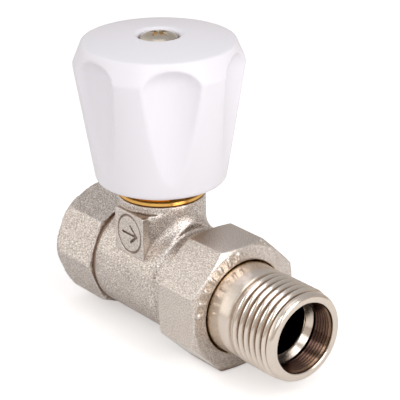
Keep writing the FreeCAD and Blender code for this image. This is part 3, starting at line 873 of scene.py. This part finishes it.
@dataclass
class Handwheel(SubAssembly):
    """The fluted moulding and the screw that holds it."""

    body: str = "spindle"
    bottom: float = 22.1
    bottom_radius: float = 14.82
    shoulder: float = 49.5
    shoulder_radius: float = 19.18
    top: float = 54.3
    top_radius: float = 17.16
    hollow: float = 12.6
    dome: float = 1.5
    hollow_top: float = 12.2
    ceiling: float = 50.6
    hub: float = 7.2
    hub_bottom: float = 36.5
    insert: float = 5.0
    insert_top: float = 48.45
    recess: float = 4.65
    recess_floor: float = 52.4
    screw_way: float = 2.2
    flutes: int = 6
    flute_radius: float = 9.4
    flute_distance: float = 24.75
    flute_shoulder: float = 48.5
    flute_dome: float = 5.0
    flute_start: float = 30.0
    face_size: float = 0.35
    screw_head: float = 4.4
    screw_seat: float = 53.1
    screw_height: float = 3.0
    cross_floor: float = 0.78
    cross_length: float = 4.4
    cross_width: float = 1.4

    def build(self) -> None:
        """Build the wheel and its screw."""
        self.hand_in(self.wheel(), "wheel_plastic", "handwheel")
        self.hand_in(self.screw(), "screw_nickel", "handwheel_screw")

    def wheel(self) -> bpy.types.Object:
        """Turn the wheel, cut its flutes and soften its edges.

        Returns:
            The wheel.
        """
        profile = [
            (self.bottom, self.hollow),
            (self.bottom, self.bottom_radius - 0.8),
            (self.bottom + 0.25, self.bottom_radius - 0.2),
            (self.bottom + 0.8, self.bottom_radius + 0.1),
            (self.shoulder, self.shoulder_radius),
            (self.top, self.top_radius),
        ]
        profile += [
            (self.top + self.dome * (1 - share * share), self.top_radius * share)
            for share in (0.85, 0.7, 0.55, 0.42)
        ]
        rim = self.top + self.dome * 0.88
        profile += [
            (rim + 0.04, self.recess + 0.85),
            (rim - 0.10, self.recess + 0.42),
            (rim - 0.32, self.recess + 0.12),
            (rim - 0.70, self.recess),
            (self.recess_floor, self.recess),
            (self.recess_floor, self.screw_way),
            (self.insert_top, self.screw_way),
            (self.insert_top, self.insert + 0.02),
            (self.hub_bottom, self.insert + 0.02),
            (self.hub_bottom, self.hub),
            (self.ceiling, self.hub + 0.4),
            (self.ceiling, self.hollow_top),
        ]
        wheel = Bench.turned("handwheel_moulding", profile, Axis.SPINDLE, steps=144, closed=True)
        for index in range(self.flutes):
            angle = math.radians(self.flute_start) + index * TURN / self.flutes
            Bench.boolean(wheel, self.flute_tool(angle), Cut.AWAY)
        return Bench.remesh(wheel, self.face_size, passes=5)

    def flute_tool(self, angle: float) -> bpy.types.Object:
        """The round-topped cutter that leaves one flute.

        Args:
            angle: Where the flute is round the spindle, in radians.

        Returns:
            The cutter.
        """
        arc = [step / 8 * math.pi / 2 for step in range(9)]
        neck = self.flute_radius - self.flute_dome
        profile = [(self.bottom - 2, self.flute_radius)]
        profile += [
            (self.flute_shoulder + self.flute_dome * math.sin(a), neck + self.flute_dome * math.cos(a))
            for a in arc
        ]
        place = (self.flute_distance * math.cos(angle), self.flute_distance * math.sin(angle))
        return Bench.turned("flute_tool", profile, Axis.SPINDLE, steps=96, off=place)

    def screw(self) -> bpy.types.Object:
        """The domed screw with its cross recess.

        Returns:
            The screw.
        """
        seat = self.screw_seat
        dome = [(0.0, 1.0), (0.4, 1.0), (0.5, 0.985), (0.64, 0.92)]
        dome += [(0.78, 0.78), (0.9, 0.56), (0.97, 0.3), (1.0, 0.06)]
        profile = [(39.0, 1.45), (39.5, 1.95), (seat, 1.95)]
        profile += [(seat + share * self.screw_height, wide * self.screw_head) for share, wide in dome]
        screw = Bench.turned("handwheel_screw_domed", profile, Axis.SPINDLE, steps=96)
        floor = seat + self.screw_height * self.cross_floor
        for name, turn in (("recess_a", 0.1), ("recess_b", 0.1 + math.pi / 2)):
            centre = Vector((VALVE_CENTRE, 0, floor + 2.0))
            blade = Bench.block(name, centre, Vector((self.cross_length, self.cross_width, 4.0)), (0, 0, turn))
            Bench.boolean(screw, blade, Cut.AWAY)
        Bench.bevel(screw, 0.12, 2, 40)
        Bench.smooth(screw, 35)
        Paint.dress(screw, "screw_nickel")

        def on_floor(face: bpy.types.MeshPolygon) -> bool:
            """Say whether a face lies in the floor of the cross."""
            spot = Vector((face.center.x / MM - VALVE_CENTRE, face.center.y / MM))
            sunk = abs(face.center.z - floor * MM) < 0.2 * MM
            return sunk and spot.length < 2.4 and face.normal.z > 0.75

        Paint.pick_out(screw, "brass_polished", on_floor)
        return screw


@dataclass
class Union(SubAssembly):
    """The union nut and the threaded tailpiece that it holds."""

    body: str = "nut"
    tail_body: str = "tail"
    rear: float = 16.2
    front: float = 28.5
    flats: float = 28.9
    shoulder: float = 26.0
    bore: float = 13.3
    hole: float = 10.88
    lead: float = 1.2
    marks: int = 7
    mark_radius: float = 12.75
    mark_from: float = 98.0
    mark_to: float = 172.0
    pitch: float = 1.814
    thread_start: float = 35.0
    tail_end: float = 48.2
    crest: float = 10.4775
    root: float = 9.4
    plain: float = 10.3
    base: float = 10.62
    mouth: float = 7.9
    mouth_start: float = 42.3
    band: float = 41.6
    face_size: float = 0.19
    tool_step: float = 0.4
    tool_depth: float = 0.32

    def build(self) -> None:
        """Build the nut, then the tailpiece on its own body."""
        self.hand_in(self.nut(), "nickel_cast", "union_nut")
        self.body = self.tail_body
        self.hand_in(self.tailpiece(), "nickel_turned", "tailpiece")

    def nut(self) -> bpy.types.Object:
        """The eight-sided nut with chamfered corners and raised marks.

        Returns:
            The nut.
        """
        nut = Bench.prism("union_nut_forged", 8, self.flats, self.rear, self.front)
        flat = self.flats / 2 - 0.25
        far = self.flats / 2 + 1.9
        envelope = Bench.turned(
            "corner_tool",
            [
                (self.rear, flat),
                (self.rear + self.lead, far),
                (self.front - self.lead, far),
                (self.front, flat),
            ],
            Axis.PIPE,
            steps=160,
        )
        Bench.boolean(nut, envelope, Cut.KEEP_SHARED)
        bore = Bench.turned(
            "bore_tool",
            [
                (self.rear - 1, self.bore + 0.4),
                (self.rear + 0.6, self.bore + 0.4),
                (self.rear + 1.0, self.bore),
                (self.shoulder, self.bore),
                (self.shoulder, self.hole),
                (self.front - 0.1, self.hole),
                (self.front + 1, self.hole + 0.6),
            ],
            Axis.PIPE,
        )
        Bench.boolean(nut, bore, Cut.AWAY)
        for index in range(self.marks):
            Bench.boolean(nut, self.mark(index), Cut.ADD)
        Bench.remesh(nut, self.face_size)
        Paint.dress(nut, "nut_nickel")
        wall = (self.hole + 0.12) * MM
        Paint.pick_out(
            nut, "brass_turned", lambda face: math.hypot(face.center.y, face.center.z) < wall
        )
        return nut

    def mark(self, index: int) -> bpy.types.Object:
        """One raised bar on the nut's front face.

        Args:
            index: Which bar, counted from the top of the nut.

        Returns:
            The bar.
        """
        share = index / (self.marks - 1)
        angle = math.radians(self.mark_from + (self.mark_to - self.mark_from) * share)
        out = self.mark_radius
        place = Vector((VALVE_CENTRE + self.front, out * math.cos(angle), out * math.sin(angle)))
        long = 1.9 if index % 2 else 1.4
        return Bench.block("mark", place, Vector((0.7, long, 0.72)), (angle, 0, 0))

    def bore_rings(self) -> Outline:
        """The tool marks left in the wide mouth of the tailpiece.

        Returns:
            Places and radii from the mouth inwards.
        """
        count = int((self.tail_end - 0.8 - self.mouth_start) / self.tool_step)
        start = self.tail_end - 0.6
        return [
            (start - index * self.tool_step, self.mouth - (index % 2) * self.tool_depth)
            for index in range(count)
        ]

    def tailpiece(self) -> bpy.types.Object:
        """The turned tailpiece with its wound thread.

        Returns:
            The tailpiece.
        """
        profile = [
            (20.5, 6.5), (20.5, 8.7), (21.0, 9.2), (21.7, 9.2), (21.7, 7.7), (23.3, 7.7), (23.3, 9.2),
            (24.05, 9.2), (24.05, 12.2), (24.25, 12.4), (25.75, 12.4), (25.95, 12.2), (25.95, self.base),
            (28.6, self.base), (31.5, self.plain), (34.3, self.plain), (34.7, 10.1),
            (self.thread_start, self.root + 0.15), (self.thread_start + 0.3, self.root),
            (self.tail_end - 1.9, self.root), (self.tail_end - 1.7, 9.85), (self.tail_end - 1.45, 10.05),
            (self.tail_end - 0.9, 10.05), (self.tail_end - 0.4, 9.8), (self.tail_end - 0.1, 9.5),
            (self.tail_end, 9.2), (self.tail_end, 8.3), (self.tail_end - 0.15, 8.05),
            (self.tail_end - 0.45, 7.9),
        ]
        profile += self.bore_rings()
        profile += [(42.3, 7.83), (42.15, 7.72), (41.1, 6.75), (40.8, 6.55), (40.4, 6.5)]
        core = Bench.turned("tailpiece_turned", profile, Axis.PIPE, steps=160, closed=True)
        Bench.smooth(core, 28)
        ridge = Bench.thread(
            "thread_ridge", self.root, self.crest, self.pitch, self.thread_start + 0.3, self.tail_end - 1.7
        )
        for piece in (core, ridge):
            Paint.dress(piece, "nickel_turned")

        def in_bore(face: bpy.types.MeshPolygon) -> bool:
            """Say whether a face lies in the hole, away from its bright band."""
            radius = math.hypot(face.center.y, face.center.z) / MM
            along = face.center.x / MM - VALVE_CENTRE
            return radius < self.mouth + 0.1 and abs(along - self.band) > 0.75

        Paint.pick_out(core, "bored", in_bore)
        return Bench.joined("tailpiece_turned", [core, ridge])


@dataclass
class Forging(SubAssembly):
    """The valve body: the blasted forging with its soft edges, plaque and threads."""

    body: str = "valve"
    face_size: float = 0.4
    plate_face_size: float = 0.13
    plaque_face: float = 11.0
    plaque: tuple[float, float, float, float] = (-3.1, 6.9, 6.6, 16.8)
    plaque_middle: tuple[float, float] = (1.9, 11.6)
    oval_radius: float = 4.1
    arrow_length: float = 5.2
    arrow_head: float = 2.8
    arrow_line: float = 0.6
    arrow_depth: float = 0.5
    collar_end: float = 10.2
    collar_corner: float = 14.3
    groove_radius: float = 12.28
    groove_width: float = 0.7
    inlet_root: float = 10.55
    inlet_crest: float = 9.36
    inlet_depth: float = 11.6
    spigot_root: float = 12.1
    spigot_crest: float = 13.18
    spigot_start: float = 16.5
    spigot_end: float = 24.0
    pitch: float = 1.814

    def build(self, node: bpy.types.Object) -> None:
        """Build the body from a merged copy of its CAD solid."""
        self.hand_in(self.forging(node), "nickel_cast", "valve_body")

    def forging(self, node: bpy.types.Object) -> bpy.types.Object:
        """Copy the CAD solid, cut its threads and mark, and soften it.

        Args:
            node: The CAD node whose shape it takes.

        Returns:
            The forging.
        """
        Bench.pick(node)
        body = node.copy()
        body.data = node.data.copy()
        body.parent = None
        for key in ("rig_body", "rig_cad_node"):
            if key in body:
                del body[key]
        bpy.context.scene.collection.objects.link(body)
        body.name = "valve_body_forging"
        body.data.materials.clear()
        Bench.face_outwards(body)
        inlet = Bench.turned(
            "inlet_tool",
            [
                (-VALVE_CENTRE - 1, self.inlet_root + 0.6),
                (-VALVE_CENTRE, self.inlet_root + 0.6),
                (-VALVE_CENTRE + 0.6, self.inlet_root),
                (-VALVE_CENTRE + self.inlet_depth, self.inlet_root),
                (-VALVE_CENTRE + self.inlet_depth, self.inlet_crest - 1),
            ],
            Axis.PIPE,
        )
        Bench.boolean(body, inlet, Cut.AWAY)
        relief = Bench.turned(
            "spigot_tool",
            [
                (self.spigot_start - 1, self.spigot_crest + 2),
                (self.spigot_start - 1, self.spigot_root),
                (self.spigot_end + 1, self.spigot_root),
                (self.spigot_end + 1, self.spigot_crest + 2),
            ],
            Axis.PIPE,
            closed=True,
        )
        Bench.boolean(body, relief, Cut.AWAY)
        left, right, low, high = self.plaque
        seat = Vector((VALVE_CENTRE + (left + right) / 2, -self.plaque_face, (low + high) / 2 + 0.25))
        size = Vector((right - left + 0.05, 1.7, high - low + 0.5))
        Bench.boolean(body, Bench.block("plate_seat", seat, size), Cut.AWAY)
        Bench.remesh(body, self.face_size)
        start = -self.collar_end
        groove = Bench.turned(
            "collar_groove",
            [
                (start, self.collar_corner),
                (start, self.groove_radius),
                (start + self.groove_width, self.groove_radius),
                (start + self.groove_width + 0.4, self.collar_corner),
            ],
            Axis.PIPE,
            closed=True,
        )
        Bench.boolean(body, groove, Cut.AWAY)
        Bench.smooth(body, SOFT_ANGLE)
        Paint.dress(body, "nickel_cast")
        threads = (self.inlet_thread(), self.spigot_thread())
        ridges = [Paint.dress(ridge, "nickel_turned") for ridge in threads]
        return Bench.joined("valve_body_forging", [body, self.plate(), *ridges])

    def plate(self) -> bpy.types.Object:
        """The plaque's face, with a flow arrow sunk inside a thin oval line.

        Returns:
            The plate, a little larger than the plaque it covers.
        """
        left, right, low, high = self.plaque
        middle = Vector((VALVE_CENTRE + (left + right) / 2, -self.plaque_face + 0.8, (low + high) / 2))
        plate = Bench.block("plate", middle, Vector((right - left + 0.1, 1.7, high - low + 0.1)))
        for across, up, tilt in ((left, high, 0.55), (right, high, -0.55)):
            corner = Vector((VALVE_CENTRE + across, -self.plaque_face, up + 0.62))
            tool = Bench.block("corner", corner, Vector((2.6, 4, 1.4)), (0, -tilt, 0))
            Bench.boolean(plate, tool, Cut.AWAY)
        for tool in self.arrow_tools():
            Bench.boolean(plate, tool, Cut.AWAY)
        Bench.boolean(plate, self.oval_tool(), Cut.AWAY)
        Bench.remesh(plate, self.plate_face_size)
        Paint.dress(plate, "nut_nickel")
        inset = Vector(((left + right) / 2, 0, (low + high) / 2))

        def in_groove(face: bpy.types.MeshPolygon) -> bool:
            """Say whether a face lies in the arrow or the oval line."""
            spot = face.center / MM - Vector((VALVE_CENTRE, 0, 0)) - inset
            within = abs(spot.x) < (right - left) / 2 - 0.4 and abs(spot.z) < (high - low) / 2 - 0.4
            return within and -self.plaque_face + 0.12 < spot.y < -self.plaque_face + 0.8

        Paint.pick_out(plate, "engraved", in_groove)
        return plate

    def oval_tool(self) -> bpy.types.Object:
        """The cutter for the oval line round the arrow."""
        along, up = self.plaque_middle
        Bench.deselect()
        bpy.ops.mesh.primitive_torus_add(
            location=Vector((VALVE_CENTRE + along, -self.plaque_face, up)) * MM, rotation=(math.pi / 2, 0, 0),
            major_radius=self.oval_radius * MM, minor_radius=self.arrow_depth * 0.6 * MM,
            major_segments=72, minor_segments=12,
        )
        tool = bpy.context.object
        tool.scale = (1.0, 1.08, 1.0)
        return Bench.settle(tool)

    def arrow_tools(self) -> list[bpy.types.Object]:
        """The cutters for the flow arrow on the plaque: a shaft and two barbs.

        Returns:
            The cutters.
        """
        along, up = self.plaque_middle
        face = -self.plaque_face
        middle = Vector((VALVE_CENTRE + along, face, up))
        deep = self.arrow_depth * 2
        tools = [Bench.block("arrow_shaft", middle, Vector((self.arrow_length, deep, self.arrow_line)))]
        tip = middle + Vector((self.arrow_length / 2, 0, 0))
        for side in (-1, 1):
            tilt = side * math.radians(42)
            back = Vector((-math.cos(tilt), 0, math.sin(tilt))) * self.arrow_head / 2
            size = Vector((self.arrow_head + 0.8, deep, self.arrow_line))
            tools.append(Bench.block("arrow_barb", tip + back, size, (0, tilt, 0)))
        return tools

    def inlet_thread(self) -> bpy.types.Object:
        """The ridge of the female thread in the inlet.

        Returns:
            The ridge, closed at both ends.
        """
        start = -VALVE_CENTRE
        return Bench.thread(
            "inlet_ridge", self.inlet_root + 0.1, self.inlet_crest, self.pitch,
            start + 1.4, start + self.inlet_depth - 1.0,
        )

    def spigot_thread(self) -> bpy.types.Object:
        """The ridge of the male thread that the union nut turns on.

        Returns:
            The ridge, closed at both ends.
        """
        return Bench.thread(
            "spigot_ridge", self.spigot_root, self.spigot_crest, self.pitch,
            self.spigot_start + 0.5, self.spigot_end - 1.0,
        )


# ---------------------------------------------------------------- studio


@dataclass
class Studio:
    """Camera, floor and soft light."""

    azimuth: float = 50.28
    elevation: float = 23.28
    roll: float = -0.48
    distance: float = 372.7
    aim_right: float = 8.57
    aim_up: float = 14.85
    lens: float = 144.7
    floor: float = -14.55
    floor_glow: float = 0.42

    def camera(self) -> None:
        """Stand the camera at the viewing angle, aimed beside the valve centre."""
        azimuth, elevation, roll = (math.radians(a) for a in (self.azimuth, self.elevation, self.roll))
        level = math.cos(elevation)
        back = Vector((math.sin(azimuth) * level, -math.cos(azimuth) * level, math.sin(elevation)))
        right = Vector((math.cos(azimuth), math.sin(azimuth), 0))
        up = back.cross(right)
        level_right = right * math.cos(roll) + up * math.sin(roll)
        level_up = up * math.cos(roll) - right * math.sin(roll)
        aim = Vector((VALVE_CENTRE, 0, 0)) + level_right * self.aim_right + level_up * self.aim_up
        spot = aim + back * self.distance
        data = bpy.data.cameras.new("camera")
        data.lens = self.lens
        data.sensor_width = 36.0
        data.clip_start = 0.01
        camera = bpy.data.objects.new("camera", data)
        turn = Matrix((level_right, level_up, back)).transposed()
        camera.matrix_world = Matrix.Translation(spot * MM) @ turn.to_4x4()
        bpy.context.scene.collection.objects.link(camera)
        bpy.context.scene.camera = camera

    def room(self) -> None:
        """Lay the pale floor and set the soft surroundings."""
        Bench.deselect()
        bpy.ops.mesh.primitive_plane_add(size=6.0, location=(VALVE_CENTRE * MM, 0, self.floor * MM))
        floor = bpy.context.object
        floor.name = "floor"
        pale = bpy.data.materials.new("pale_floor")
        pale.use_nodes = True
        shader = pale.node_tree.nodes["Principled BSDF"]
        shader.inputs["Base Color"].default_value = (0.88, 0.87, 0.86, 1)
        shader.inputs["Roughness"].default_value = 0.9
        shader.inputs["Specular IOR Level"].default_value = 0.0
        shader.inputs["Emission Color"].default_value = (1, 1, 1, 1)
        nodes = Nodes(pale.node_tree)
        seen = nodes.add("LightPath").outputs["Is Camera Ray"]
        nodes.link(nodes.math("MULTIPLY", seen, self.floor_glow), shader.inputs["Emission Strength"])
        floor.data.materials.append(pale)
        scene = bpy.context.scene
        scene.view_settings.view_transform = "Standard"
        world = bpy.data.worlds.new("surroundings")
        world.use_nodes = True
        scene.world = world
        nodes = Nodes(world.node_tree)
        shade = world.node_tree.nodes["Background"]
        ray = nodes.add("LightPath").outputs["Is Camera Ray"]
        where = nodes.add("TexCoord").outputs["Generated"]
        parts = nodes.add("SeparateXYZ")
        nodes.link(where, parts.inputs[0])
        side = nodes.add("VectorMath", operation="DOT_PRODUCT")
        nodes.link(where, side.inputs[0])
        side.inputs[1].default_value = (-0.70, -0.68, 0.22)
        lobe = nodes.math("POWER", nodes.math("MAXIMUM", side.outputs["Value"], 0.0), 4.0)
        ramp = nodes.add("ValToRGB")
        height = nodes.math("MULTIPLY", parts.outputs["Z"], 0.5)
        nodes.link(nodes.math("ADD", height, 0.5), ramp.inputs["Fac"])
        stops = ramp.color_ramp.elements
        stops[0].position = 0.30
        stops[0].color = (0.20, 0.13, 0.08, 1)
        stops[1].position = 1.0
        stops[1].color = (0.56, 0.55, 0.57, 1)
        bands = ((0.50, (0.40, 0.31, 0.25)), (0.57, (0.58, 0.54, 0.51)), (0.75, (0.46, 0.45, 0.45)))
        for place, colour in bands:
            stop = stops.new(place)
            stop.color = (*colour, 1)
        tent = nodes.mix(lobe, ramp.outputs["Color"], (1.35, 1.31, 1.28))
        nodes.link(nodes.mix(ray, tent, (1.0, 1.0, 1.0)), shade.inputs["Color"])
        shade.inputs["Strength"].default_value = 1.0

    def light(
        self,
        name: str,
        azimuth: float,
        elevation: float,
        far: float,
        size: tuple[float, float],
        power: float,
        colour: Triple,
    ) -> None:
        """Hang one soft box that faces the valve.

        Args:
            name: The light's name.
            azimuth: Its side of the valve, in degrees, counted as the camera's.
            elevation: Its height above the horizon, in degrees.
            far: Its distance, in millimetres.
            size: Its width and height, in millimetres.
            power: Its power, in watts.
            colour: Its colour.
        """
        a, e = math.radians(azimuth), math.radians(elevation)
        back = Vector((math.sin(a) * math.cos(e), -math.cos(a) * math.cos(e), math.sin(e)))
        data = bpy.data.lights.new(name, "AREA")
        data.shape = "RECTANGLE"
        data.size, data.size_y = size[0] * MM, size[1] * MM
        data.energy = power
        data.color = colour
        lamp = bpy.data.objects.new(name, data)
        place = Matrix.Translation((Vector((VALVE_CENTRE, 0, 15)) + back * far) * MM)
        lamp.matrix_world = place @ back.to_track_quat("Z", "Y").to_matrix().to_4x4()
        bpy.context.scene.collection.objects.link(lamp)

    def lights(self) -> None:
        """Hang the key on the right, a box in front and a box overhead."""
        self.light("key", 95, 30, 600, (300, 500), 1.65, (1.0, 0.985, 0.985))
        self.light("front", 40, 35, 700, (300, 300), 0.72, (0.97, 0.97, 1.0))
        self.light("overhead", 50, 85, 600, (400, 400), 0.3, (1.0, 1.0, 1.0))


@dataclass
class Valve:
    """The whole valve: remodelled pieces, and CAD pieces that keep their shape."""

    frame: dict

    def dress_cad_nodes(self) -> None:
        """Give every CAD node that stays its finish."""
        slots = {row["node"]: row["material_slot"] for row in self.frame["record"]["subparts"]}
        for name, node in self.frame["nodes"].items():
            if node.hide_render:
                continue
            node.data.materials.clear()
            node.data.materials.append(Paint.of(slots[name]))
            LOG.info("%s keeps its CAD shape", name)

    def build(self) -> None:
        """Build every sub-assembly, then dress what is left."""
        Forging().build(self.frame["nodes"]["valve_body"])
        Union().build()
        Handwheel().build()
        self.dress_cad_nodes()


def main() -> None:
    """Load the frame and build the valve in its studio."""
    logging.basicConfig(level=logging.INFO)
    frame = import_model()
    studio = Studio()
    studio.camera()
    studio.room()
    studio.lights()
    Valve(frame).build()


if __name__ == "__main__":
    main()
